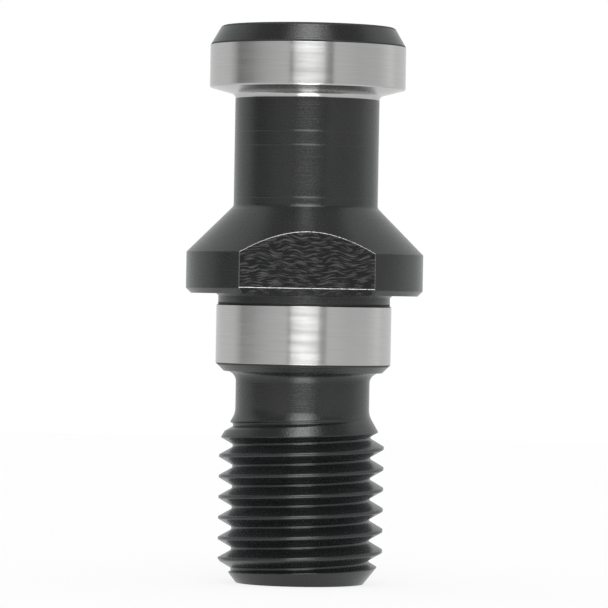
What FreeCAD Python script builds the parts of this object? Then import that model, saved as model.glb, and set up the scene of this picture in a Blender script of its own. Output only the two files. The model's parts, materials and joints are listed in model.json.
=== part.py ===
"""Pull stud for the M16 shank end of a steep-taper tool holder.

The stud is one piece of steel: turned, bored, threaded, milled on two sides and ground on three
bands. Its axis is Z. The origin lies on the axis, in the plane of the collar's underside, the
face that seats on the tool holder. The gripped head points up (+Z), the thread points down (-Z),
and the two wrench flats face -Y and +Y. Lengths are millimetres and angles are degrees.
"""
import FreeCAD, Part
import math
import os

from FreeCAD import Vector

# ---- driving dimensions ---------------------------------------------------------------------

# head, gripped by the machine's drawbar
head_diameter = 19.0
grip_height = 20.0              # seat plane up to the lower corner of the head's band
head_length = 6.0               # lower corner of the band up to the top face
head_taper_length = 1.9         # lead-in above the band, along the axis
head_taper_angle = 30.0         # from the axis
head_underside_angle = 15.0     # gripped cone, from a plane square to the axis
head_edge_break = 0.1           # on the band's lower corner
top_edge_break = 0.15           # round the top face

# neck
neck_diameter = 14.0
neck_top_fillet = 0.5           # into the head's underside
neck_bottom_fillet = 0.5        # into the collar's cone

# collar
collar_diameter = 23.0
collar_band_height = 4.0        # seat plane up to the start of the cone
collar_cone_angle = 45.0        # from the axis
collar_chamfer = 0.5            # round the underside

# wrench flats, milled on the collar
flats_across = 19.0
flat_bevel = 0.6                # 45 degrees, along the lower edge of each flat

# pilot, a ground band that centres the stud in the tool holder
pilot_diameter = 17.0
pilot_shoulder_depth = 7.5      # seat plane down to the shoulder below the band
pilot_chamfer = 0.8             # above the shoulder
pilot_edge_break = 0.08         # on the band's upper edge
relief_length = 1.04            # grinding relief between the seat plane and the band
relief_depth = 0.16             # below the band's surface
relief_corner = 0.2             # left in the corner with the seat plane

# undercut between the pilot and the thread
undercut_length = 6.7           # shoulder down to full thread diameter
undercut_clearance = 0.2        # floor of the undercut below the root of the thread
undercut_fillet = 1.0           # below the shoulder
runout_angle = 30.0             # cone that opens to the thread's diameter, from the axis
runout_fillet = 2.0             # between the floor and the cone

# ISO metric thread, right-hand
thread_diameter = 16.0
thread_pitch = 2.0
thread_end_depth = 28.0         # seat plane down to the end face
end_face_clearance = 0.5        # edge of the end face below the root of the thread
end_taper_angle = 38.0          # from the axis
thread_start_angle = -45.0      # where the groove leaves the end face, from +X towards +Y
flank_angle = 30.0              # from a plane square to the axis

# coolant bore, right through
bore_diameter = 7.0
bore_chamfer = 0.5              # at both mouths

# ---- radii and heights that follow from them ------------------------------------------------


def slope(angle):
    """Rise per unit of run for an angle in degrees."""
    return math.tan(math.radians(angle))


head_radius = head_diameter / 2
neck_radius = neck_diameter / 2
collar_radius = collar_diameter / 2
pilot_radius = pilot_diameter / 2
relief_radius = pilot_radius - relief_depth
thread_radius = thread_diameter / 2
bore_radius = bore_diameter / 2

# The thread's crests are an eighth of the pitch wide, and its groove is three quarters of the
# height of the sharp triangle deep.
crest_width = thread_pitch / 8
root_radius = thread_radius - thread_pitch / (2 * slope(flank_angle)) * 3 / 4
undercut_radius = root_radius - undercut_clearance
end_face_radius = root_radius - end_face_clearance

top_height = grip_height + head_length
top_radius = head_radius - head_taper_length * slope(head_taper_angle)
head_taper_bottom = top_height - head_taper_length
neck_top = grip_height - (head_radius - neck_radius) * slope(head_underside_angle)
neck_bottom = collar_band_height + (collar_radius - neck_radius) / slope(collar_cone_angle)
pilot_top = -relief_length
shoulder = -pilot_shoulder_depth
runout_bottom = shoulder - undercut_length
runout_top = runout_bottom + (thread_radius - undercut_radius) / slope(runout_angle)
thread_end = -thread_end_depth
end_taper_top = thread_end + (thread_radius - end_face_radius) / slope(end_taper_angle)


# ---- turned blank ---------------------------------------------------------------------------

SHARP, CHAMFER, FILLET = "sharp", "chamfer", "fillet"


def half_section():
    """Corners of the half section as (radius, height, finish, size), from the top of the bore
    down the outside of the stud to the bottom of the bore."""
    return [
        (bore_radius, top_height, CHAMFER, bore_chamfer),
        # head
        (top_radius, top_height, CHAMFER, top_edge_break),
        (head_radius, head_taper_bottom, SHARP, 0),
        (head_radius, grip_height, CHAMFER, head_edge_break),
        # neck
        (neck_radius, neck_top, FILLET, neck_top_fillet),
        (neck_radius, neck_bottom, FILLET, neck_bottom_fillet),
        # collar
        (collar_radius, collar_band_height, SHARP, 0),
        (collar_radius, 0, CHAMFER, collar_chamfer),
        # relief and pilot
        (relief_radius, 0, CHAMFER, relief_corner),
        (relief_radius, pilot_top, SHARP, 0),
        (pilot_radius, pilot_top, CHAMFER, pilot_edge_break),
        (pilot_radius, shoulder, CHAMFER, pilot_chamfer),
        # undercut
        (undercut_radius, shoulder, FILLET, undercut_fillet),
        (undercut_radius, runout_top, FILLET, runout_fillet),
        # thread, uncut
        (thread_radius, runout_bottom, SHARP, 0),
        (thread_radius, end_taper_top, SHARP, 0),
        (end_face_radius, thread_end, SHARP, 0),
        # bore
        (bore_radius, thread_end, CHAMFER, bore_chamfer),
    ]


def finish_corner(before, corner, after, finish, size):
    """The edge that finishes a corner, or None, and the points where its two sides end.

    A chamfer takes its size off both sides. A fillet is the tangent arc of that radius."""
    if finish == SHARP:
        return None, corner, corner
    to_before = (before - corner).normalize()
    to_after = (after - corner).normalize()
    if finish == CHAMFER:
        start = corner + to_before * size
        end = corner + to_after * size
        return Part.LineSegment(start, end).toShape(), start, end
    half_angle = to_before.getAngle(to_after) / 2
    start = corner + to_before * (size / math.tan(half_angle))
    end = corner + to_after * (size / math.tan(half_angle))
    nearest = (to_before + to_after).normalize() * (size / math.sin(half_angle) - size)
    return Part.Arc(start, corner + nearest, end).toShape(), start, end


def closed_outline(corners):
    """The wire through the corners, in the XZ plane, with each corner finished."""
    points = [Vector(radius, 0, height) for radius, height, _, _ in corners]
    edges = []
    starts = []
    ends = []
    for index, (_, _, finish, size) in enumerate(corners):
        after = points[(index + 1) % len(points)]
        edge, start, end = finish_corner(points[index - 1], points[index], after, finish, size)
        if edge:
            edges.append(edge)
        starts.append(start)
        ends.append(end)
    for end, next_start in zip(ends, starts[1:] + starts[:1]):
        edges.append(Part.LineSegment(end, next_start).toShape())
    return Part.Wire(Part.sortEdges(edges)[0])


def turned_blank():
    """The stud before its thread and flats."""
    section = Part.Face(closed_outline(half_section()))
    return section.revolve(Vector(0, 0, 0), Vector(0, 0, 1), 360)


# ---- thread ---------------------------------------------------------------------------------


def helix(bottom, turns):
    """A right-hand helix of whole turns that starts above +X, as a wire of one edge a turn."""
    edges = []
    for turn in range(turns):
        edge = Part.makeHelix(thread_pitch, thread_pitch, thread_radius).Edges[0]
        edge.translate(Vector(0, 0, bottom + turn * thread_pitch))
        edges.append(edge)
    return Part.Wire(edges)


def groove_section(height):
    """The groove between two crests, taken out past them so that it cuts clear."""
    outer_radius = thread_radius + crest_width / 3
    mouth = thread_pitch - crest_width + 2 * (outer_radius - thread_radius) * slope(flank_angle)
    floor = thread_pitch - crest_width - 2 * (thread_radius - root_radius) * slope(flank_angle)
    return Part.makePolygon([
        Vector(outer_radius, 0, height - mouth / 2),
        Vector(root_radius, 0, height - floor / 2),
        Vector(root_radius, 0, height + floor / 2),
        Vector(outer_radius, 0, height + mouth / 2),
        Vector(outer_radius, 0, height - mouth / 2),
    ])


def thread_groove():
    """The helical groove, from below the end face up to the middle of the undercut's floor.

    The undercut's floor lies inside the root of the thread, so the groove runs out through the
    cone and ends in the open."""
    top = (shoulder - undercut_fillet + runout_top) / 2
    turns = math.ceil((top - thread_end) / thread_pitch) + 1
    bottom = top - turns * thread_pitch
    sweep = Part.BRepOffsetAPI.MakePipeShell(helix(bottom, turns))
    sweep.setFrenetMode(True)
    sweep.add(groove_section(bottom))
    sweep.build()
    sweep.makeSolid()
    groove = sweep.shape()
    angle_at_end_face = 360 * (thread_end - bottom) / thread_pitch
    groove.rotate(Vector(0, 0, 0), Vector(0, 0, 1), thread_start_angle - angle_at_end_face)
    return groove


# ---- wrench flats ---------------------------------------------------------------------------


def flat_cut():
    """What is milled off in front of the flat that faces -Y, bevel included."""
    flat_y = -flats_across / 2
    clear_y = flat_y - collar_radius
    profile = Part.makePolygon([
        Vector(-collar_radius, flat_y + flat_bevel, 0),
        Vector(-collar_radius, flat_y, flat_bevel),
        Vector(-collar_radius, flat_y, neck_bottom),
        Vector(-collar_radius, clear_y, neck_bottom),
        Vector(-collar_radius, clear_y, 0),
        Vector(-collar_radius, flat_y + flat_bevel, 0),
    ])
    return Part.Face(profile).extrude(Vector(collar_diameter, 0, 0))


# ---- the stud -------------------------------------------------------------------------------


def pull_stud():
    """The finished stud, as one solid."""
    front_cut = flat_cut()
    back_cut = flat_cut()
    back_cut.rotate(Vector(0, 0, 0), Vector(0, 0, 1), 180)
    stud = turned_blank().cut([front_cut, back_cut]).cut(thread_groove())
    return stud.Solids[0]


os.makedirs("parts", exist_ok=True)
pull_stud().exportStep("parts/pull_stud.step")
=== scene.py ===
"""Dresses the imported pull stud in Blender: its turned, ground, milled and threaded skin, and the
studio round it.

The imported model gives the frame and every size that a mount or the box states. The stud's skin is
one closed mesh that stands for the CAD node: a turned body, with a helical thread skin welded to
it by Geometry Nodes. The axis is Z, the collar seats on z = 0, and lengths are metres.
"""

import json
import math

import bpy
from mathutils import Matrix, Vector


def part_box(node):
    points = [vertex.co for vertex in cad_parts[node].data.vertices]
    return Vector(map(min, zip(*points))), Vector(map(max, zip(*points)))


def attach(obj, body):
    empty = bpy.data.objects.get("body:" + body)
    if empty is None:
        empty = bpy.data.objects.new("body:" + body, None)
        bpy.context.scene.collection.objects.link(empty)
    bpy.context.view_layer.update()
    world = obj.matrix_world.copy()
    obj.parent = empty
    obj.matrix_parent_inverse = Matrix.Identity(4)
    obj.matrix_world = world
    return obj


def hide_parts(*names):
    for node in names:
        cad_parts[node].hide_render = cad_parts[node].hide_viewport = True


bl_info = {
    "name": "Pull stud",
    "version": (1, 0, 0),
    "blender": (4, 5, 0),
    "location": "View3D > Sidebar > Pull stud",
    "description": "Builds the skin, finishes and studio of a pull stud round its packed CAD model",
    "category": "Object",
}

NODE = "pull_stud"
PIECE = "pull_stud_skin"
MM = 0.001

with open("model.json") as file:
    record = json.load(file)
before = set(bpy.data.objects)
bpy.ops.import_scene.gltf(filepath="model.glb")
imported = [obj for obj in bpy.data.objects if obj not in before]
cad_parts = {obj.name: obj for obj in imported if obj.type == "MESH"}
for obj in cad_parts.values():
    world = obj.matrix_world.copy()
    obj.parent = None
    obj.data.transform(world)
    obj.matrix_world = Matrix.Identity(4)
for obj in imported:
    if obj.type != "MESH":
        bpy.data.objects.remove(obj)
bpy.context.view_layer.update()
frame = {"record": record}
node_low, node_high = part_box(NODE)
mounts = {mount["name"]: mount for mount in frame["record"]["mounts"]}


def mount_radius(name):
    """Radius of a round mount."""
    return mounts[name]["dims"]["r_mm"] * MM


def mount_ends(name):
    """Lower and upper end of a round mount, along the axis."""
    middle = mounts[name]["pos_m"][2]
    half = mounts[name]["dims"]["length_mm"] * MM / 2
    return middle - half, middle + half


# ---- sizes and finishes ---------------------------------------------------------------------


def length(name, description, default):
    """A size in metres."""
    return bpy.props.FloatProperty(
        name=name, description=description, default=default, precision=5,
        subtype="DISTANCE", unit="LENGTH")


def angle(name, description, degrees):
    """An angle, given in degrees and kept in radians."""
    return bpy.props.FloatProperty(
        name=name, description=description, default=math.radians(degrees),
        subtype="ANGLE", unit="ROTATION")


def colour(name, description, default):
    """A linear colour."""
    return bpy.props.FloatVectorProperty(
        name=name, description=description, default=default, size=3, min=0, max=1,
        subtype="COLOR")


def factor(name, description, default):
    """A number from 0 to 1."""
    return bpy.props.FloatProperty(
        name=name, description=description, default=default, min=0, max=1, subtype="FACTOR")


def number(name, description, default):
    """A plain number."""
    return bpy.props.FloatProperty(name=name, description=description, default=default)


class StudShape(bpy.types.PropertyGroup):
    """Sizes of the stud that the frame's mounts and box don't state."""

    head_taper_angle: angle("Head taper", "Lead-in above the head's band, from the axis", 30)
    head_underside_angle: angle("Head underside", "Gripped cone, from a square plane", 15)
    head_break: length("Head edge break", "On the lower corner of the head's band", 0.1 * MM)
    top_break: length("Top edge break", "Round the top face", 0.15 * MM)
    neck_radius: length("Neck radius", "Round neck below the head", 7.0 * MM)
    neck_fillet: length("Neck fillet", "At both ends of the neck", 0.5 * MM)
    collar_band: length("Collar band", "Seat plane up to the collar's cone", 4.0 * MM)
    collar_cone_angle: angle("Collar cone", "From the axis", 45)
    collar_chamfer: length("Collar chamfer", "Round the underside of the collar", 0.5 * MM)
    flat_bevel: length("Flat bevel", "Along the lower edge of each wrench flat", 0.6 * MM)
    relief_depth: length("Relief depth", "Below the surface of the pilot band", 0.16 * MM)
    relief_corner: length("Relief corner", "Left in the corner with the seat", 0.2 * MM)
    pilot_break: length("Pilot edge break", "On the upper edge of the band", 0.08 * MM)
    pilot_chamfer: length("Pilot chamfer", "Above the shoulder", 0.8 * MM)
    undercut_length: length("Undercut length", "Shoulder to full thread diameter", 6.7 * MM)
    undercut_clearance: length("Undercut clearance", "Floor below the thread's root", 0.2 * MM)
    undercut_fillet: length("Undercut fillet", "Below the shoulder", 1.0 * MM)
    runout_angle: angle("Run-out cone", "Between undercut and thread, from the axis", 30)
    runout_fillet: length("Run-out fillet", "Between the floor and the cone", 2.0 * MM)
    thread_pitch: length("Thread pitch", "Distance between crests", 2.0 * MM)
    thread_start: angle("Thread start", "Where the groove leaves the end face", -45)
    end_clearance: length("End face clearance", "Edge of the end face below the root", 0.5 * MM)
    end_taper_angle: angle("End taper", "Chamfer at the thread's end, from the axis", 38)
    bore_chamfer: length("Bore chamfer", "At both mouths of the coolant bore", 0.5 * MM)
    edge_round: length("Edge round", "Rounding left on every turned edge", 0.05 * MM)
    columns: bpy.props.IntProperty(
        name="Columns", description="Mesh columns round the stud", default=160, min=40)
    thread_rows: bpy.props.IntProperty(
        name="Thread rows", description="Mesh rows across one pitch", default=32, min=8)


class StudFinish(bpy.types.PropertyGroup):
    """Colours and finishes of the steel."""

    oxide_colour: colour("Black oxide", "Body colour of the coating", (0.012, 0.0123, 0.0122))
    oxide_tint: colour("Oxide sheen", "Tint of the coating's reflection", (0.98, 1.0, 0.99))
    oxide_roughness: factor("Oxide roughness", "Roughness of the coating", 0.24)
    ground_colour: colour("Ground steel", "Colour of the ground bands", (0.57, 0.57, 0.565))
    ground_roughness: factor("Ground roughness", "Roughness of the ground bands", 0.2)
    # Bare steel colour: laid on rubbed edges and crests, and also as painted highlight lines along
    # edges.
    bare_steel_colour: colour("Worn steel", "Bright steel where an edge has rubbed", (0.42, 0.42, 0.41))
    turning_step: length("Turning step", "Distance between turning marks", 0.11 * MM)
    grinding_step: length("Grinding step", "Distance between grinding marks", 0.07 * MM)


class StudStage(bpy.types.PropertyGroup):
    """Camera, lamps, floor and background."""

    camera_distance: length("Camera distance", "From the axis", 440 * MM)
    camera_heading: angle("Camera heading", "Round the axis, from straight on to a flat", -1.5)
    camera_aim: length("Aim height", "Where the camera looks on the axis", -0.9 * MM)
    camera_roll: angle("Camera roll", "Turns the stud clockwise in view", 0.99)
    camera_lens: number("Lens", "Focal length in millimetres, on a 36 mm sensor", 268.2)
    floor_radius: length("Floor radius", "Of the round pale floor", 450 * MM)
    tent_radius: length("Tent radius", "Of the light tent", 3000 * MM)
    tent_light: number("Tent light", "Strength of the tent as light", 0.85)
    floor_colour: colour("Floor colour", "Pale matt paper", (0.9, 0.9, 0.9))


# ---- outline of the turned body -------------------------------------------------------------

SHARP, CHAMFER, FILLET = "sharp", "chamfer", "fillet"
OXIDE, GROUND, MILLED, BORE = range(4)
ROUND_STEPS = 2                 # segments in a small edge round
FILLET_STEPS = 9                # segments in a fillet
FILLET_ROOM = 0.9               # share of a side that a fillet may take
ROUND_ROOM = 0.35               # share of a side that an edge round may take
SUPPORT_GAP = 0.02 * MM         # least distance from a rounding to its support points
SUPPORT_ROOM = 0.1              # share of what is left of a side that the support point may take
FLAT_SIDE_ROUND = math.radians(0.3)     # half the width of a flat's upright edge
SMALL_ANGLE = 1e-6
BRIGHT_LINE = 0.5               # edge mark above which a whole edge round is bare steel, partly wear, partly painted highlight
FLAT_SIDE_PAINTED_HIGHLIGHT = 0.45           # painted highlight line of bare steel on a flat's upright edges
ROOT_BLEND = 0.12 * MM          # between the thread's flank and its root
FLOOR_BLEND = 0.22              # between undercut and run-out, as a share of the fillet there
WELD_DISTANCE = 0.001 * MM
CREST_HIGHLIGHT = 0.94                # where the crest's bare steel starts, partly wear, partly painted highlight, as a share of half the mouth
CREST_HIGHLIGHT_DEPTH = (0.05 * MM, 0.15 * MM)     # below a full crest, where the crest's bare steel starts to fade and ends


class Stud:
    """Radii and heights worked out from the frame and the shape's sizes."""

    def __init__(self, shape):
        self.shape = shape
        self.top = node_high.z
        self.end = node_low.z
        self.collar_radius = node_high.x
        self.flat_distance = abs(mounts["wrench_flat_front"]["pos_m"][1])
        self.head_radius = mount_radius("grip_head")
        self.pilot_radius = mount_radius("pilot")
        self.thread_radius = mount_radius("thread")
        self.bore_radius = mount_radius("coolant_bore")

        grip_low, self.head_taper_bottom = mount_ends("grip_head")
        self.grip = grip_low - shape.head_break
        taper = self.top - self.head_taper_bottom
        self.top_radius = self.head_radius - taper * math.tan(shape.head_taper_angle)
        overhang = self.head_radius - shape.neck_radius
        self.neck_top = self.grip - overhang * math.tan(shape.head_underside_angle)
        shoulder_width = self.collar_radius - shape.neck_radius
        self.neck_bottom = shape.collar_band + shoulder_width / math.tan(shape.collar_cone_angle)

        self.pilot_bottom, pilot_high = mount_ends("pilot")
        self.shoulder = self.pilot_bottom - shape.pilot_chamfer
        self.pilot_top = pilot_high + shape.pilot_break
        self.relief_radius = self.pilot_radius - shape.relief_depth

        self.crest = shape.thread_pitch / 8
        self.root_radius = self.thread_radius - shape.thread_pitch * math.sqrt(3) / 2 * 3 / 4
        self.undercut_radius = self.root_radius - shape.undercut_clearance
        self.end_face_radius = self.root_radius - shape.end_clearance
        self.runout_bottom = self.shoulder - shape.undercut_length
        opening = self.thread_radius - self.undercut_radius
        self.runout_top = self.runout_bottom + opening / math.tan(shape.runout_angle)
        self.weld = (self.shoulder - shape.undercut_fillet + self.runout_top) / 2
        self.flat_half_angle = math.acos(self.flat_distance / self.collar_radius)
        bevel_radius = self.flat_distance - shape.flat_bevel
        self.bevel_half_angle = math.acos(
            bevel_radius / (self.collar_radius - shape.collar_chamfer))

    def dull_heights(self):
        """Heights where the coating is dull, beside the top edge and the ground bands."""
        return (self.top - 0.1 * MM, self.head_taper_bottom + 0.08 * MM,
                self.pilot_top + 0.11 * MM, self.pilot_bottom - 0.08 * MM)

    def from_flat(self, turn):
        """Angle between a direction and the middle of the nearer wrench flat."""
        return abs(math.remainder(turn - math.pi / 2, math.pi))

    def collar_corners(self, turn):
        """Radii of the collar's underside edge and wall, heights of the wall's ends, and whether
        the wall is a wrench flat, in one direction."""
        shape = self.shape
        off = self.from_flat(turn)
        flat_radius = self.flat_distance / math.cos(off)
        bevel_radius = (self.flat_distance - shape.flat_bevel) / math.cos(off)
        wall = min(self.collar_radius, flat_radius)
        edge = min(self.collar_radius - shape.collar_chamfer, bevel_radius)
        on_flat = off <= self.flat_half_angle + SMALL_ANGLE
        bottom = shape.flat_bevel if on_flat else shape.collar_chamfer
        top = shape.collar_band + (self.collar_radius - wall) / math.tan(shape.collar_cone_angle)
        return edge, wall, bottom, top, on_flat

    def outline(self, turn):
        """Corners as (radius, height, finish, size, zone below the next corner, edge mark), from
        the weld in the undercut up the outside, over the top and down the bore to the end face. The
        edge mark is bare steel, partly rubbed wear and partly a painted highlight line."""
        shape = self.shape
        edge, wall, wall_bottom, wall_top, on_flat = self.collar_corners(turn)
        wall_zone = MILLED if on_flat else OXIDE
        # Along a flat's edges the edge mark is bare steel: partly rubbed wear, partly a painted
        # highlight line.
        flat_edge_wear_and_highlight = 1.0 if on_flat else 0.12
        return [
            (self.undercut_radius, self.weld, SHARP, 0, OXIDE, 0),
            (self.undercut_radius, self.shoulder, FILLET, shape.undercut_fillet, OXIDE, 0),
            (self.pilot_radius, self.shoulder, CHAMFER, shape.pilot_chamfer, GROUND, 0.25),
            (self.pilot_radius, self.pilot_top, CHAMFER, shape.pilot_break, OXIDE, 0.1),
            (self.relief_radius, self.pilot_top, SHARP, 0, OXIDE, 0),
            (self.relief_radius, 0, CHAMFER, shape.relief_corner, OXIDE, 0),
            (edge, 0, SHARP, 0, wall_zone, 0.2),
            (wall, wall_bottom, SHARP, 0, wall_zone, flat_edge_wear_and_highlight),
            (wall, wall_top, SHARP, 0, OXIDE, flat_edge_wear_and_highlight),
            (shape.neck_radius, self.neck_bottom, FILLET, shape.neck_fillet, OXIDE, 0),
            (shape.neck_radius, self.neck_top, FILLET, shape.neck_fillet, GROUND, 0),
            (self.head_radius, self.grip, CHAMFER, shape.head_break, GROUND, 0.3),
            (self.head_radius, self.head_taper_bottom, SHARP, 0, OXIDE, 0.1),
            (self.top_radius, self.top, CHAMFER, shape.top_break, OXIDE, 0.1),
            (self.bore_radius, self.top, CHAMFER, shape.bore_chamfer, BORE, 0.3),
            (self.bore_radius, self.end, CHAMFER, shape.bore_chamfer, OXIDE, 0.3),
            (self.end_face_radius, self.end, SHARP, 0, OXIDE, 0),
        ]


def chamfered(corners):
    """The corners with each chamfer cut, as (point, rounding, zone, wear and painted highlight
    mark).
    """
    cut = []
    for index, (radius, height, finish, size, zone, wear_and_highlight) in enumerate(corners):
        point = Vector((radius, height))
        if finish != CHAMFER:
            cut.append((point, size if finish == FILLET else None, zone, wear_and_highlight))
            continue
        before = Vector(corners[index - 1][:2]) - point
        after = Vector(corners[index + 1][:2]) - point
        facet_zone = GROUND if corners[index - 1][4] == zone == GROUND else OXIDE
        cut.append((point + before.normalized() * size, None, facet_zone, wear_and_highlight))
        cut.append((point + after.normalized() * size, None, zone, wear_and_highlight))
    return cut


def rounded(cut, edge_round):
    """Profile points as (radius, height, zone, wear and painted highlight), every corner rounded,
    with a support point each side of a rounding that keeps the surface beside it true.
    surface after it."""
    profile = [(cut[0][0].x, cut[0][0].y, cut[0][2], 0)]
    for index in range(1, len(cut) - 1):
        point, fillet, zone, wear_and_highlight = cut[index]
        zone_before = cut[index - 1][2]
        before = cut[index - 1][0] - point
        after = cut[index + 1][0] - point
        half = before.angle(after) / 2
        room = min(before.length, after.length)
        share = FILLET_ROOM if fillet else ROUND_ROOM
        reach = min((fillet or edge_round) / math.tan(half), share * room)
        radius = reach * math.tan(half)
        before.normalize()
        after.normalize()
        centre = point + (before + after).normalized() * radius / math.sin(half)
        spread = before.angle(after)
        steps = FILLET_STEPS if fillet else ROUND_STEPS
        support = reach + min(0.5 * reach + SUPPORT_GAP, SUPPORT_ROOM * (room - reach))
        start = point + before * support
        end = point + after * support
        profile.append((start.x, start.y, zone_before, 0))
        first = point + before * reach - centre
        turn = math.copysign(math.pi - spread, first.cross(point + after * reach - centre))
        for step in range(steps + 1):
            swing = turn * step / steps
            x = first.x * math.cos(swing) - first.y * math.sin(swing)
            y = first.x * math.sin(swing) + first.y * math.cos(swing)
            here = centre + Vector((x, y))
            # An edge round gets bare steel here: partly rubbed wear, partly a painted highlight
            # line.
            bare_edge = not fillet and (step not in (0, steps) or wear_and_highlight > BRIGHT_LINE)
            on_edge = wear_and_highlight if bare_edge else 0
            here_zone = zone_before if step < steps / 2 and not fillet else zone
            profile.append((here.x, here.y, here_zone, on_edge))
        profile.append((end.x, end.y, zone, 0))
    profile.append((cut[-1][0].x, cut[-1][0].y, cut[-1][2], 0))
    return profile


def body_turns(stud, columns):
    """Directions of the mesh columns: an even set, and more at the flats' upright edges. Each
    comes with its home, the nearest even direction, where the column ends at a weld."""
    step = math.tau / columns
    turns = [(index * step, index * step) for index in range(columns)]
    edge = stud.flat_half_angle
    offsets = (edge - FLAT_SIDE_ROUND, edge, edge + FLAT_SIDE_ROUND, stud.bevel_half_angle)
    for middle in (math.pi / 2, 3 * math.pi / 2):
        for side in (-1, 1):
            for offset in offsets:
                turn = middle + side * offset
                turns.append((turn, round(turn / step) * step))
    return sorted(turns)


def body_mesh(stud, shape):
    """The turned and milled body, open where the thread's skin is welded on."""
    turns = body_turns(stud, shape.columns)
    profiles = [rounded(chamfered(stud.outline(turn)), shape.edge_round) for turn, _ in turns]
    rows = len(profiles[0])
    side = stud.flat_half_angle
    points = []
    wear_and_highlight = []
    for (turn, home), profile in zip(turns, profiles):
        for row, (radius, height, zone, wear_and_highlight_mark) in enumerate(profile):
            here = home if row in (0, rows - 1) else turn
            points.append((radius * math.cos(here), radius * math.sin(here), height))
            # A painted highlight line of bare steel runs along each flat's upright edges, where the
            # sharp edge catches little light.
            on_side = abs(stud.from_flat(turn) - side) < SMALL_ANGLE and zone == MILLED
            upright = on_side and height > shape.flat_bevel
            wear_and_highlight.append(max(wear_and_highlight_mark, FLAT_SIDE_PAINTED_HIGHLIGHT if upright else 0))
    faces = []
    zones = []
    for column in range(len(turns)):
        after = (column + 1) % len(turns)
        for row in range(rows - 1):
            zone = profiles[column][row][2]
            if zone == MILLED:
                zone = profiles[after][row][2]
            a, b = column * rows + row, after * rows + row
            faces.append((a, b, b + 1, a + 1))
            zones.append(zone)
    mesh = bpy.data.meshes.new(PIECE)
    mesh.from_pydata(points, [], faces)
    mesh.polygons.foreach_set("material_index", zones)
    mesh.polygons.foreach_set("use_smooth", [True] * len(faces))
    # The wear attribute holds the bare-steel marks: partly rubbed wear, partly painted highlight
    # lines.
    layer = mesh.attributes.new("wear_and_highlight", "FLOAT", "POINT")
    layer.data.foreach_set("value", wear_and_highlight)
    return mesh


# ---- node helpers ---------------------------------------------------------------------------


class Nodes:
    """Adds nodes to a tree. An input is given by name or place, as a value or a socket."""

    def __init__(self, tree):
        self.tree = tree

    def add(self, kind, inputs=(), **settings):
        """A new node, with its settings and inputs."""
        node = self.tree.nodes.new(kind)
        for name, value in settings.items():
            setattr(node, name, value)
        for key, value in dict(inputs).items():
            self.feed(node.inputs[key], value)
        return node

    def feed(self, socket, value):
        """Links a socket to the input, or sets its value."""
        if isinstance(value, bpy.types.NodeSocket):
            self.tree.links.new(value, socket)
        else:
            socket.default_value = value

    def math(self, operation, *values):
        """The result of a Math node."""
        return self.add("ShaderNodeMath", enumerate(values), operation=operation).outputs[0]

    def span(self, value, low, high, to_low=0.0, to_high=1.0):
        """value mapped from low..high to to_low..to_high, clamped."""
        inputs = {"Value": value, "From Min": low, "From Max": high,
                  "To Min": to_low, "To Max": to_high}
        return self.add("ShaderNodeMapRange", inputs).outputs["Result"]

    def mix(self, share, low, high):
        """The number low at share 0, and high at share 1."""
        return self.add("ShaderNodeMix", {"Factor": share, "A": low, "B": high},
                        data_type="FLOAT").outputs[0]

    def blend(self, share, low, high):
        """The colour low at share 0, and high at share 1. A Mix node's colour output comes after
        the ones for floats and vectors."""
        return self.add("ShaderNodeMix", {"Factor": share, "A": low, "B": high},
                        data_type="RGBA").outputs[2]

    def joined(self, x, y, z):
        """A vector."""
        return self.add("ShaderNodeCombineXYZ", {0: x, 1: y, 2: z}).outputs[0]


# ---- thread ---------------------------------------------------------------------------------


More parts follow.
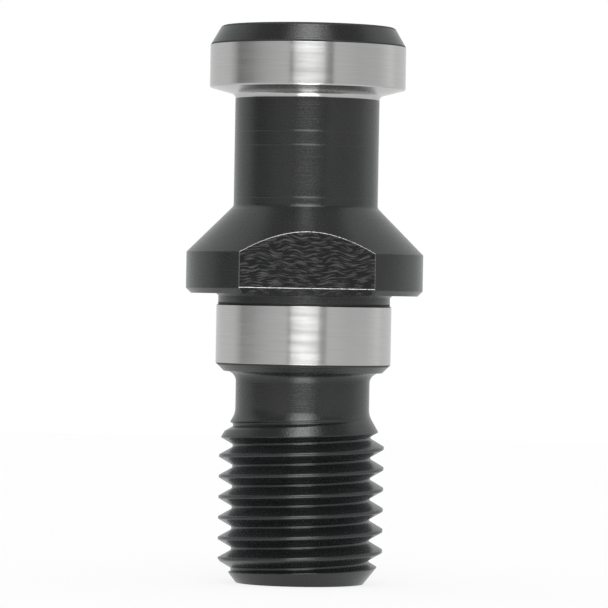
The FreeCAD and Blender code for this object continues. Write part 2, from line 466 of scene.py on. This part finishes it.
def thread_tree():
    """Geometry Nodes that weld a helical thread skin to the turned body.

    A grid is wound round the axis, one pitch for each turn. Its radius is the lesser of the
    thread's section and the blank's outline, and its height is clamped to the two welds."""
    tree = bpy.data.node_groups.new("thread_skin", "GeometryNodeTree")
    tree.is_modifier = True
    interface = tree.interface
    interface.new_socket("Body", in_out="INPUT", socket_type="NodeSocketGeometry")
    for name in ("Pitch", "Crest width", "Crest radius", "Root radius", "Start angle",
                 "End height", "End face radius", "End taper slope", "Weld height",
                 "Undercut radius", "Run-out height", "Run-out slope", "Root blend",
                 "Edge blend", "Floor blend", "Merge distance"):
        interface.new_socket(name, in_out="INPUT", socket_type="NodeSocketFloat")
    for name in ("Turns", "Columns", "Rows"):
        interface.new_socket(name, in_out="INPUT", socket_type="NodeSocketInt")
    interface.new_socket("Material", in_out="INPUT", socket_type="NodeSocketMaterial")
    interface.new_socket("Stud", in_out="OUTPUT", socket_type="NodeSocketGeometry")

    n = Nodes(tree)
    given = n.add("NodeGroupInput").outputs
    across = n.math("MULTIPLY", given["Turns"], given["Columns"])
    grid = n.add("GeometryNodeMeshGrid", {
        "Size X": 1.0, "Size Y": 1.0,
        "Vertices X": n.math("ADD", across, 1), "Vertices Y": n.math("ADD", given["Rows"], 1)})
    place = n.add("ShaderNodeSeparateXYZ", {0: n.add("GeometryNodeInputPosition").outputs[0]})
    turned = n.math("MULTIPLY", n.math("ADD", place.outputs["X"], 0.5), given["Turns"])
    share = n.math("ADD", place.outputs["Y"], 0.5)

    # Crests lie at share 0 and 1, and the groove's middle at one half.
    turn = n.math("MULTIPLY", turned, math.tau)
    lead = n.math("DIVIDE", given["Start angle"], math.tau)
    first = n.math("SUBTRACT", n.math("FRACT", n.math("SUBTRACT", 0.5, lead)), 2)
    wound = n.math("ADD", n.math("ADD", turned, share), first)
    height = n.math("MULTIPLY_ADD", wound, given["Pitch"], given["End height"])
    height = n.math("MINIMUM", n.math("MAXIMUM", height, given["End height"]),
                    given["Weld height"])

    off_middle = n.math("ABSOLUTE", n.math("SUBTRACT", share, 0.5))
    from_groove = n.math("MULTIPLY", off_middle, given["Pitch"])
    half_mouth = n.math("MULTIPLY", n.math("SUBTRACT", given["Pitch"], given["Crest width"]), 0.5)
    down = n.math("SUBTRACT", half_mouth, from_groove)
    flank = n.math("MULTIPLY_ADD", down, -math.sqrt(3), given["Crest radius"])
    section = n.math("SMOOTH_MAX", flank, given["Root radius"], given["Root blend"])

    above_end = n.math("SUBTRACT", height, given["End height"])
    taper = n.math("MULTIPLY_ADD", above_end, given["End taper slope"], given["End face radius"])
    above_runout = n.math("SUBTRACT", given["Run-out height"], height)
    runout = n.math("MULTIPLY_ADD", above_runout, given["Run-out slope"], given["Crest radius"])
    runout = n.math("SMOOTH_MAX", runout, given["Undercut radius"], given["Floor blend"])
    blank = n.math("MINIMUM", n.math("MINIMUM", taper, runout), given["Crest radius"])
    radius = n.math("SMOOTH_MIN", section, blank, given["Edge blend"])

    spot = n.joined(n.math("MULTIPLY", radius, n.math("COSINE", turn)),
                    n.math("MULTIPLY", radius, n.math("SINE", turn)), height)
    strip = n.add("GeometryNodeSetPosition", {"Geometry": grid.outputs[0], "Position": spot})
    # Bare steel on the crests, kept in the wear attribute: partly rubbed wear, partly a painted
    # highlight line where crests face the light.
    on_crest = n.span(from_groove, n.math("MULTIPLY", half_mouth, CREST_HIGHLIGHT), half_mouth)
    full = n.span(n.math("SUBTRACT", given["Crest radius"], radius), *CREST_HIGHLIGHT_DEPTH, 1, 0)
    wear_and_highlight_mark = n.add("GeometryNodeStoreNamedAttribute", {
        "Geometry": strip.outputs[0], "Name": "wear_and_highlight", "Value": n.math("MULTIPLY", on_crest, full)},
        data_type="FLOAT", domain="POINT")
    marked = n.add("GeometryNodeStoreNamedAttribute", {
        "Geometry": wear_and_highlight_mark.outputs[0], "Name": "threaded", "Value": True},
        data_type="BOOLEAN", domain="FACE")
    smooth = n.add("GeometryNodeSetShadeSmooth", {
        "Geometry": marked.outputs[0], "Shade Smooth": True})
    both = n.add("GeometryNodeJoinGeometry")
    tree.links.new(smooth.outputs[0], both.inputs[0])
    tree.links.new(given["Body"], both.inputs[0])
    welded = n.add("GeometryNodeMergeByDistance", {
        "Geometry": both.outputs[0], "Distance": given["Merge distance"]})
    real = n.add("GeometryNodeRealizeInstances", {"Geometry": welded.outputs[0]})
    threaded = n.add("GeometryNodeInputNamedAttribute", {"Name": "threaded"}, data_type="BOOLEAN")
    dressed = n.add("GeometryNodeSetMaterial", {
        "Geometry": real.outputs[0], "Selection": threaded.outputs["Attribute"],
        "Material": given["Material"]})
    n.add("NodeGroupOutput", {"Stud": dressed.outputs[0]})
    return tree


def set_inputs(modifier, values):
    """Sets a node modifier's inputs by their sockets' identifiers."""
    for item in modifier.node_group.interface.items_tree:
        if item.name in values and item.in_out == "INPUT":
            modifier[item.identifier] = values[item.name]


def plain_mesh(body):
    """The mesh that an object's modifiers make, without the empty slot that the thread's skin has
    before its material is set."""
    evaluated = body.evaluated_get(bpy.context.evaluated_depsgraph_get())
    mesh = bpy.data.meshes.new_from_object(evaluated)
    mesh.name = PIECE
    while None in mesh.materials[:]:
        mesh.materials.pop(index=mesh.materials[:].index(None))
    return mesh


def check_closed(mesh):
    """Raises an error if an edge of the mesh doesn't join exactly two faces."""
    uses = {}
    for polygon in mesh.polygons:
        for key in polygon.edge_keys:
            uses[key] = uses.get(key, 0) + 1
    loose = sum(1 for count in uses.values() if count != 2)
    if loose:
        raise RuntimeError(f"the skin isn't closed: {loose} edges don't join two faces")


# ---- materials ------------------------------------------------------------------------------


def new_material(name):
    """A material with its Principled shader, and a node helper for its tree."""
    material = bpy.data.materials.new(name)
    material.use_nodes = True
    shader = material.node_tree.nodes["Principled BSDF"]
    return material, shader, Nodes(material.node_tree)


GREYS = (0.3, 0.7)              # between these lie most of a noise texture's values
COATING_IOR = 1.55
CUTTER_MARK_IOR = 1.3           # of the coating on a milled flat
COATING_ANISOTROPY = 0.3
GROUND_ANISOTROPY = 0.9
ROUGHNESS_SPREAD = 0.05         # how far the coating's roughness varies with its grain
GROUND_SPREAD = 0.03            # the same for ground steel
DULL_ROUGHNESS = 0.6            # added where the coating is dull
BORE_ROUGHNESS = 0.12           # added in the bore
ALONG_AXIS = 0.25               # turns a highlight's long side from round the stud to along it
SHEEN_WEIGHT = 0.06
SHEEN_ROUGHNESS = 0.35
SHEEN_TINT = (0.55, 0.8, 1.0)
MARK_DEPTH = 0.02 * MM
GRINDING_DEPTH = 0.004 * MM
GRAIN_SIZE = 0.16 * MM
CLOUD_SIZE = 3.5 * MM
CUTTER_MARK_LENGTH = 1.2 * MM
CUTTER_MARK_STEP = 0.17 * MM
CUTTER_MARK_BEND = 2.5 * MM     # over this length the cutter's marks change direction
RIDGE_WEAR = 0.09               # bare steel on the cutter marks' ridges
FACE_MARKS = 0.4                # how closely marks follow each other on a face square to the axis
TOOL_RINGS = (15.7, 14.35, 9.3)         # heights of faint rings on the neck, in millimetres
TOOL_RING_WIDTH = 0.09 * MM
DULL_WIDTH = 0.14 * MM


def turning_coordinates(n, step, drift):
    """Object coordinates in which marks run round the axis, one unit for each step across them.
    drift says how fast a mark changes on its way round."""
    place = n.add("ShaderNodeTexCoord").outputs["Object"]
    part = n.add("ShaderNodeSeparateXYZ", {0: place}).outputs
    flat = n.joined(part["X"], part["Y"], 0)
    radius = n.add("ShaderNodeVectorMath", {0: flat}, operation="LENGTH").outputs["Value"]
    around = n.add("ShaderNodeVectorMath", {0: flat}, operation="NORMALIZE").outputs[0]
    around = n.add("ShaderNodeVectorMath", {0: around, "Scale": drift},
                   operation="SCALE").outputs[0]
    across = n.math("MULTIPLY_ADD", radius, FACE_MARKS, part["Z"])
    across = n.math("MULTIPLY", across, 1 / step)
    return n.add("ShaderNodeVectorMath", {0: around, 1: n.joined(0, 0, across)},
                 operation="ADD").outputs[0]


def noise(n, vector, scale=1.0, detail=2.0, roughness=0.5):
    """A noise texture's grey value."""
    return n.add("ShaderNodeTexNoise", {
        "Vector": vector, "Scale": scale, "Detail": detail, "Roughness": roughness}).outputs[0]


def shade(tone, level=1.0):
    """A colour with its alpha, made darker or lighter by a factor."""
    return (*[level * channel for channel in tone], 1)


def roughen(n, shader, height, depth, strength=1.0):
    """Gives the shader a bump."""
    bump = n.add("ShaderNodeBump", {"Strength": strength, "Distance": depth, "Height": height})
    n.feed(shader.inputs["Normal"], bump.outputs[0])


def lay_round_axis(n, shader, anisotropy):
    """Stretches highlights along the axis, as marks that run round it do."""
    shader.inputs["Anisotropic"].default_value = anisotropy
    shader.inputs["Anisotropic Rotation"].default_value = ALONG_AXIS
    tangent = n.add("ShaderNodeTangent", direction_type="RADIAL", axis="Z")
    n.feed(shader.inputs["Tangent"], tangent.outputs[0])


def coat(n, shader, bare, tone, finish, ior=COATING_IOR):
    """Colours the shader: the coating's tone, and bare steel where it is bare, which on edges and
    crests is partly rubbed wear and partly a painted highlight.
    """
    n.feed(shader.inputs["Base Color"], n.blend(bare, tone, shade(finish.bare_steel_colour)))
    n.feed(shader.inputs["Metallic"], bare)
    shader.inputs["Specular Tint"].default_value = shade(finish.oxide_tint)
    shader.inputs["IOR"].default_value = ior
    shader.inputs["Sheen Weight"].default_value = SHEEN_WEIGHT
    shader.inputs["Sheen Roughness"].default_value = SHEEN_ROUGHNESS
    shader.inputs["Sheen Tint"].default_value = shade(SHEEN_TINT)
    lay_round_axis(n, shader, COATING_ANISOTROPY)


def ring_mask(n, height, level, width):
    """1 at a height on the axis, falling to 0 at a width away from it."""
    return n.span(n.math("ABSOLUTE", n.math("SUBTRACT", height, level)), 0, width, 1, 0)


def oxide_material(finish, stud):
    """Black oxide over turned steel, with bare steel where the wear attribute says so: partly
    rubbed wear, partly painted highlight lines on edges and crests.
    """
    material, shader, n = new_material("black_oxide")
    place = n.add("ShaderNodeTexCoord").outputs["Object"]
    marks = noise(n, turning_coordinates(n, finish.turning_step, 1.2), detail=3)
    grain = noise(n, place, scale=1 / GRAIN_SIZE)
    cloud = noise(n, place, scale=1 / CLOUD_SIZE, detail=3)
    # Bare steel on edges and crests: partly rubbed wear, partly painted highlight lines.
    wear_and_highlight = n.add("ShaderNodeAttribute", attribute_name="wear_and_highlight").outputs["Fac"]
    bare = n.math("MULTIPLY", wear_and_highlight, n.span(grain, 0.35, 0.6))
    tone = n.blend(n.span(cloud, *GREYS), shade(finish.oxide_colour, 0.8),
                   shade(finish.oxide_colour, 1.2))
    coat(n, shader, bare, tone, finish)
    height = n.add("ShaderNodeSeparateXYZ", {0: place}).outputs["Z"]
    rings = dull = 0.0
    for level in TOOL_RINGS:
        ring = ring_mask(n, height, level * MM, TOOL_RING_WIDTH)
        rings = n.math("MAXIMUM", rings, ring)
    for level in stud.dull_heights():
        dull = n.math("MAXIMUM", dull, ring_mask(n, height, level, DULL_WIDTH))
    surface = n.math("MULTIPLY_ADD", marks, 0.7, n.math("MULTIPLY", grain, 0.6))
    roughen(n, shader, n.math("ADD", surface, rings), MARK_DEPTH)
    rough = n.span(grain, *GREYS, finish.oxide_roughness - ROUGHNESS_SPREAD,
                   finish.oxide_roughness + ROUGHNESS_SPREAD)
    n.feed(shader.inputs["Roughness"], n.math("MULTIPLY_ADD", dull, DULL_ROUGHNESS, rough))
    return material


def ground_material(finish):
    """Bright steel ground round the axis."""
    material, shader, n = new_material("ground_steel")
    marks = noise(n, turning_coordinates(n, finish.grinding_step, 2.5))
    broad = noise(n, turning_coordinates(n, 8 * finish.grinding_step, 1.5), detail=1)
    tone = n.blend(n.span(marks, *GREYS), shade(finish.ground_colour, 0.93),
                   shade(finish.ground_colour))
    n.feed(shader.inputs["Base Color"], tone)
    shader.inputs["Metallic"].default_value = 1.0
    lay_round_axis(n, shader, GROUND_ANISOTROPY)
    rough = n.span(broad, *GREYS, finish.ground_roughness - GROUND_SPREAD,
                   finish.ground_roughness + GROUND_SPREAD)
    n.feed(shader.inputs["Roughness"], rough)
    roughen(n, shader, marks, GRINDING_DEPTH, 0.3)
    return material


def milled_material(finish):
    """Black oxide over the cutter's wavy marks on a wrench flat."""
    material, shader, n = new_material("milled_oxide")
    place = n.add("ShaderNodeTexCoord").outputs["Object"]
    bend = n.math("MULTIPLY", noise(n, place, scale=1 / CUTTER_MARK_BEND, detail=1), 9)
    part = n.add("ShaderNodeSeparateXYZ", {0: place}).outputs
    along = n.math("MULTIPLY", part["X"], 1 / CUTTER_MARK_LENGTH)
    across = n.math("MULTIPLY_ADD", part["Z"], 1 / CUTTER_MARK_STEP, bend)
    ridge = n.span(noise(n, n.joined(along, part["Y"], across), detail=3), 0.5, 0.68)
    grain = noise(n, place, scale=1 / GRAIN_SIZE)
    # Bare steel along the flat's edges from the wear attribute: partly rubbed wear, partly a
    # painted highlight line.
    wear_and_highlight = n.add("ShaderNodeAttribute", attribute_name="wear_and_highlight").outputs["Fac"]
    edge = n.math("MULTIPLY", wear_and_highlight, n.span(grain, 0.2, 0.4))
    bare = n.math("MAXIMUM", edge, n.math("MULTIPLY", ridge, RIDGE_WEAR))
    tone = n.blend(ridge, shade(finish.oxide_colour, 0.5), shade(finish.oxide_colour, 2.0))
    coat(n, shader, bare, tone, finish, CUTTER_MARK_IOR)
    roughen(n, shader, ridge, MARK_DEPTH)
    shader.inputs["Roughness"].default_value = finish.oxide_roughness
    return material


def bore_material(finish):
    """Black oxide in the drilled bore, duller than outside."""
    material, shader, n = new_material("bored_oxide")
    marks = noise(n, turning_coordinates(n, 3 * finish.turning_step, 1.5), detail=3)
    tone = n.blend(n.span(marks, *GREYS), shade(finish.oxide_colour, 0.7),
                   shade(finish.oxide_colour, 1.3))
    n.feed(shader.inputs["Base Color"], tone)
    shader.inputs["Roughness"].default_value = min(1.0, finish.oxide_roughness + BORE_ROUGHNESS)
    roughen(n, shader, marks, MARK_DEPTH, 0.5)
    return material


# ---- studio ---------------------------------------------------------------------------------

WHITE = (1, 1, 1, 1)
WORLD_LIGHT = 0.6               # strength of the world as light


def make_world():
    """Plain white all round, and dimmer as light than to the camera and in reflections."""
    world = bpy.data.worlds.new("studio")
    world.use_nodes = True
    bpy.context.scene.world = world
    n = Nodes(world.node_tree)
    light = world.node_tree.nodes["Background"]
    light.inputs["Color"].default_value = WHITE
    light.inputs["Strength"].default_value = WORLD_LIGHT
    white = n.add("ShaderNodeBackground", {"Color": WHITE, "Strength": 1.0})
    mix = n.add("ShaderNodeMixShader", {0: seen(n), 1: light.outputs[0], 2: white.outputs[0]})
    n.feed(world.node_tree.nodes["World Output"].inputs["Surface"], mix.outputs[0])


def seen(n):
    """1 where a ray comes from the camera or from a mirror or glass, else 0."""
    path = n.add("ShaderNodeLightPath").outputs
    mirrored = n.math("MAXIMUM", path["Is Glossy Ray"], path["Is Transmission Ray"])
    return n.math("MAXIMUM", path["Is Camera Ray"], mirrored)


# Grey of the tent's cards by compass direction in degrees: 0 is the front, 90 is the right.
TENT_CARDS = (
    (-180, 0.72), (-120, 0.76), (-106, 0.72), (-97, 0.5), (-90, 0.25), (-84, 0.26), (-70, 0.36),
    (-59, 0.49), (-46, 0.6), (-30, 0.68), (-24, 0.66), (-22, 0.34), (-19, 0.36), (-17, 0.5),
    (0, 0.64), (18, 0.52), (21, 0.42), (24, 0.3), (27, 0.3), (30, 0.72), (46, 0.68), (60, 0.62),
    (88, 0.65), (98, 0.74), (112, 0.9), (125, 0.78), (180, 0.72))
# Each pair says where an edge starts and ends. Heights are shares of the tent's radius.
TENT_TOP = (0.88, 0.93)
HOOD_FOOT = (0.45, 0.7)
HOOD_SIDES = (math.radians(85), math.radians(100))
HOOD_GREY = 0.3
STRIP_FOOT = (0.19, 0.24)
STRIP_FADE = (0.6, 0.87)
STRIP_HALF_WIDTH = 0.31         # of the strip box, as a share of its distance
STRIP_LIGHT = 4.5
STRIP_FAR_LIGHT = 0.7           # light of the strip box's high end, as a share of the low end's
FLOOR_WHITE = 1.03              # as the camera sees the floor
FLOOR_REFLECTS = 0.8            # share of that white in what the camera and mirrors see
FLOOR_DROP = 0.02 * MM          # below the end face, so that the two don't share a plane
FLOOR_STRIP_START = (11 * MM, 16 * MM)      # from the axis, of the strip box's light painted on the floor as a pool that mirrors see
FLOOR_STRIP_END = (110 * MM, 170 * MM)
FLOOR_GLOW = (20 * MM, 60 * MM)             # from the axis, where the floor's painted glow falls off
FLOOR_SIDES = 96


def strip_mask(n, part, distance):
    """1 in the strip box that arcs over the front of the stud, else 0."""
    aside = n.math("DIVIDE", n.math("ABSOLUTE", part["X"]), distance)
    inside = n.span(aside, STRIP_HALF_WIDTH - 0.02, STRIP_HALF_WIDTH + 0.01, 1, 0)
    inside = n.math("MULTIPLY", inside, n.span(aside, 0.08, STRIP_HALF_WIDTH, 1, 0.6))
    return n.math("MULTIPLY", inside, n.math("LESS_THAN", part["Y"], 0))


def make_tent(stage):
    """The light tent round the stud: grey cards by compass direction under a dimmer top, and a
    strip box over the front. Reflections see those. As light, the tent is plain white."""
    bpy.ops.mesh.primitive_uv_sphere_add(segments=48, ring_count=24, radius=stage.tent_radius)
    tent = bpy.context.object
    tent.name = tent.data.name = "light_tent"
    tent.visible_camera = False
    material = bpy.data.materials.new("tent_cards")
    material.use_nodes = True
    n = Nodes(material.node_tree)
    place = n.add("ShaderNodeTexCoord").outputs["Object"]
    part = n.add("ShaderNodeSeparateXYZ", {0: place}).outputs
    compass = n.math("ARCTAN2", part["X"], n.math("MULTIPLY", part["Y"], -1))
    ramp = n.add("ShaderNodeValToRGB", {"Fac": n.span(compass, -math.pi, math.pi)})
    fill_ramp(ramp.color_ramp, TENT_CARDS)
    level = n.math("DIVIDE", part["Z"], stage.tent_radius)
    front = n.span(n.math("ABSOLUTE", compass), *HOOD_SIDES, 1, 0)
    top = n.span(level, *TENT_TOP)
    hood = n.math("MAXIMUM", n.math("MULTIPLY", front, n.span(level, *HOOD_FOOT)), top)
    grey = n.add("ShaderNodeRGBToBW", {0: ramp.outputs["Color"]}).outputs[0]
    cards = n.mix(hood, grey, HOOD_GREY)
    height = n.math("MULTIPLY", n.span(n.math("ABSOLUTE", level), *STRIP_FOOT),
                    n.math("SUBTRACT", 1, top))
    strip = n.math("MULTIPLY", strip_mask(n, part, stage.tent_radius), height)
    glow = n.span(level, *STRIP_FADE, STRIP_LIGHT, STRIP_FAR_LIGHT * STRIP_LIGHT)
    diffuse = n.add("ShaderNodeLightPath").outputs["Is Diffuse Ray"]
    strength = n.mix(diffuse, n.mix(strip, cards, glow), stage.tent_light)
    emission = n.add("ShaderNodeEmission", {"Color": WHITE, "Strength": strength})
    n.feed(material.node_tree.nodes["Material Output"].inputs["Surface"], emission.outputs[0])
    tent.data.materials.append(material)


def fill_ramp(ramp, stops):
    """Gives a colour ramp its greys by compass direction."""
    ramp.interpolation = "LINEAR"
    while len(ramp.elements) > 1:
        ramp.elements.remove(ramp.elements[-1])
    for index, (compass, grey) in enumerate(stops):
        position = (compass + 180) / 360
        element = ramp.elements[0] if index == 0 else ramp.elements.new(position)
        element.position = position
        element.color = (grey, grey, grey, 1)


def make_floor(stage):
    """A round pale floor under the stud, that fades into the background. What mirrors see of it is
    painted light: a pool of the strip box's light in front, and a glow that falls off away from the
    stud.
    """
    mesh = bpy.data.meshes.new("floor")
    level = node_low.z - FLOOR_DROP
    turns = [math.tau * k / FLOOR_SIDES for k in range(FLOOR_SIDES)]
    rim = [(stage.floor_radius * math.cos(turn), stage.floor_radius * math.sin(turn), level)
           for turn in turns]
    mesh.from_pydata(rim, [], [tuple(range(FLOOR_SIDES))])
    floor = bpy.data.objects.new("floor", mesh)
    bpy.context.scene.collection.objects.link(floor)
    material, shader, n = new_material("pale_floor")
    shader.inputs["Base Color"].default_value = shade(stage.floor_colour)
    shader.inputs["Roughness"].default_value = 0.9
    place = n.add("ShaderNodeTexCoord").outputs["Object"]
    part = n.add("ShaderNodeSeparateXYZ", {0: place}).outputs
    away = n.add("ShaderNodeVectorMath", {0: n.joined(part["X"], part["Y"], 0)},
                 operation="LENGTH").outputs["Value"]
    # Painted light, seen only in reflections: the strip box's light as a pool on the floor in
    # front, and a glow near the stud.
    painted_strip_pool = n.math("MULTIPLY", strip_mask(n, part, away), n.span(away, *FLOOR_STRIP_START))
    painted_strip_pool = n.math("MULTIPLY", painted_strip_pool, n.span(away, *FLOOR_STRIP_END, 1, 0))
    painted_glow = n.span(away, *FLOOR_GLOW, 0.95, 0.75)
    direct = n.add("ShaderNodeLightPath").outputs["Is Camera Ray"]
    strength = n.mix(direct, n.mix(painted_strip_pool, painted_glow, STRIP_LIGHT), FLOOR_WHITE)
    white = n.add("ShaderNodeEmission", {"Color": WHITE, "Strength": strength})
    share = n.math("MULTIPLY", seen(n), FLOOR_REFLECTS)
    mix = n.add("ShaderNodeMixShader", {0: share, 1: shader.outputs[0], 2: white.outputs[0]})
    n.feed(material.node_tree.nodes["Material Output"].inputs["Surface"], mix.outputs[0])
    mesh.materials.append(material)


def area_lamp(name, place, size, power):
    """A rectangular lamp that faces the origin."""
    data = bpy.data.lights.new(name, "AREA")
    data.shape = "RECTANGLE"
    data.size, data.size_y = size
    data.energy = power
    lamp = bpy.data.objects.new(name, data)
    bpy.context.scene.collection.objects.link(lamp)
    lamp.location = place
    lamp.rotation_euler = (-Vector(place)).to_track_quat("-Z", "Y").to_euler()


def make_camera(stage):
    """The camera, level with the seat, turned a little off the front flat."""
    data = bpy.data.cameras.new("camera")
    data.lens = stage.camera_lens
    data.sensor_width = 36
    data.clip_start = 0.01
    data.clip_end = 10
    camera = bpy.data.objects.new("camera", data)
    bpy.context.scene.collection.objects.link(camera)
    heading = stage.camera_heading
    away = stage.camera_distance
    place = Vector((math.sin(heading) * away, -math.cos(heading) * away, 0))
    camera.location = place
    look = Vector((0, 0, stage.camera_aim)) - place
    camera.rotation_euler = look.to_track_quat("-Z", "Y").to_euler()
    camera.rotation_euler.rotate_axis("Z", stage.camera_roll)
    bpy.context.scene.camera = camera


# ---- operators ------------------------------------------------------------------------------


class STUD_OT_turned_body(bpy.types.Operator):
    """Build the turned, ground and milled body, open where the thread goes"""

    bl_idname = "stud.turned_body"
    bl_label = "Turned body"

    def execute(self, context):
        shape = context.scene.stud_shape
        finish = context.scene.stud_finish
        stud = Stud(shape)
        body = bpy.data.objects.new(PIECE, body_mesh(stud, shape))
        context.scene.collection.objects.link(body)
        body.data.materials.append(oxide_material(finish, stud))
        body.data.materials.append(ground_material(finish))
        body.data.materials.append(milled_material(finish))
        body.data.materials.append(bore_material(finish))
        return {"FINISHED"}


class STUD_OT_thread(bpy.types.Operator):
    """Wind the thread's skin, weld it to the body, hang the piece on the root body and hide the CAD
    node
    """

    bl_idname = "stud.thread"
    bl_label = "Thread"

    def execute(self, context):
        shape = context.scene.stud_shape
        body = bpy.data.objects.get(PIECE)
        if body is None:
            raise RuntimeError("make the turned body before its thread")
        stud = Stud(shape)
        turns = math.ceil((stud.weld - stud.end) / shape.thread_pitch) + 2
        modifier = body.modifiers.new("Thread", "NODES")
        modifier.node_group = thread_tree()
        set_inputs(modifier, {
            "Pitch": shape.thread_pitch, "Crest width": stud.crest,
            "Crest radius": stud.thread_radius, "Root radius": stud.root_radius,
            "Start angle": shape.thread_start, "End height": stud.end,
            "End face radius": stud.end_face_radius,
            "End taper slope": math.tan(shape.end_taper_angle), "Weld height": stud.weld,
            "Undercut radius": stud.undercut_radius, "Run-out height": stud.runout_bottom,
            "Run-out slope": math.tan(shape.runout_angle), "Root blend": ROOT_BLEND,
            "Edge blend": shape.edge_round, "Floor blend": FLOOR_BLEND * shape.runout_fillet,
            "Merge distance": WELD_DISTANCE, "Turns": turns,
            "Columns": shape.columns, "Rows": shape.thread_rows,
            "Material": bpy.data.materials["black_oxide"]})
        finished = plain_mesh(body)
        body.modifiers.remove(modifier)
        body.data = finished
        check_closed(finished)
        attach(body, "root")
        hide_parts(NODE)
        return {"FINISHED"}


class STUD_OT_stage(bpy.types.Operator):
    """Set the camera, lamps, floor and background"""

    bl_idname = "stud.stage"
    bl_label = "Stage"

    def execute(self, context):
        stage = context.scene.stud_stage
        context.scene.view_settings.view_transform = "Standard"
        make_world()
        make_tent(stage)
        make_floor(stage)
        make_camera(stage)
        area_lamp("overhead_softbox", (0, -1.0, 1.7), (0.6, 0.7), 4.0)
        return {"FINISHED"}


class VIEW3D_PT_stud(bpy.types.Panel):
    """Sizes, finishes and steps of the pull stud"""

    bl_label = "Pull stud"
    bl_space_type = "VIEW_3D"
    bl_region_type = "UI"
    bl_category = "Pull stud"

    def draw(self, context):
        layout = self.layout
        for operator in (STUD_OT_turned_body, STUD_OT_thread, STUD_OT_stage):
            layout.operator(operator.bl_idname)
        scene = context.scene
        for group in (scene.stud_shape, scene.stud_finish, scene.stud_stage):
            box = layout.box()
            for name in group.__annotations__:
                box.prop(group, name)


CLASSES = (StudShape, StudFinish, StudStage,
           STUD_OT_turned_body, STUD_OT_thread, STUD_OT_stage, VIEW3D_PT_stud)


def register():
    for cls in CLASSES:
        bpy.utils.register_class(cls)
    bpy.types.Scene.stud_shape = bpy.props.PointerProperty(type=StudShape)
    bpy.types.Scene.stud_finish = bpy.props.PointerProperty(type=StudFinish)
    bpy.types.Scene.stud_stage = bpy.props.PointerProperty(type=StudStage)


def unregister():
    del bpy.types.Scene.stud_stage
    del bpy.types.Scene.stud_finish
    del bpy.types.Scene.stud_shape
    for cls in reversed(CLASSES):
        bpy.utils.unregister_class(cls)


def main():
    register()
    bpy.ops.stud.turned_body()
    bpy.ops.stud.thread()
    bpy.ops.stud.stage()


if __name__ == "__main__":
    main()
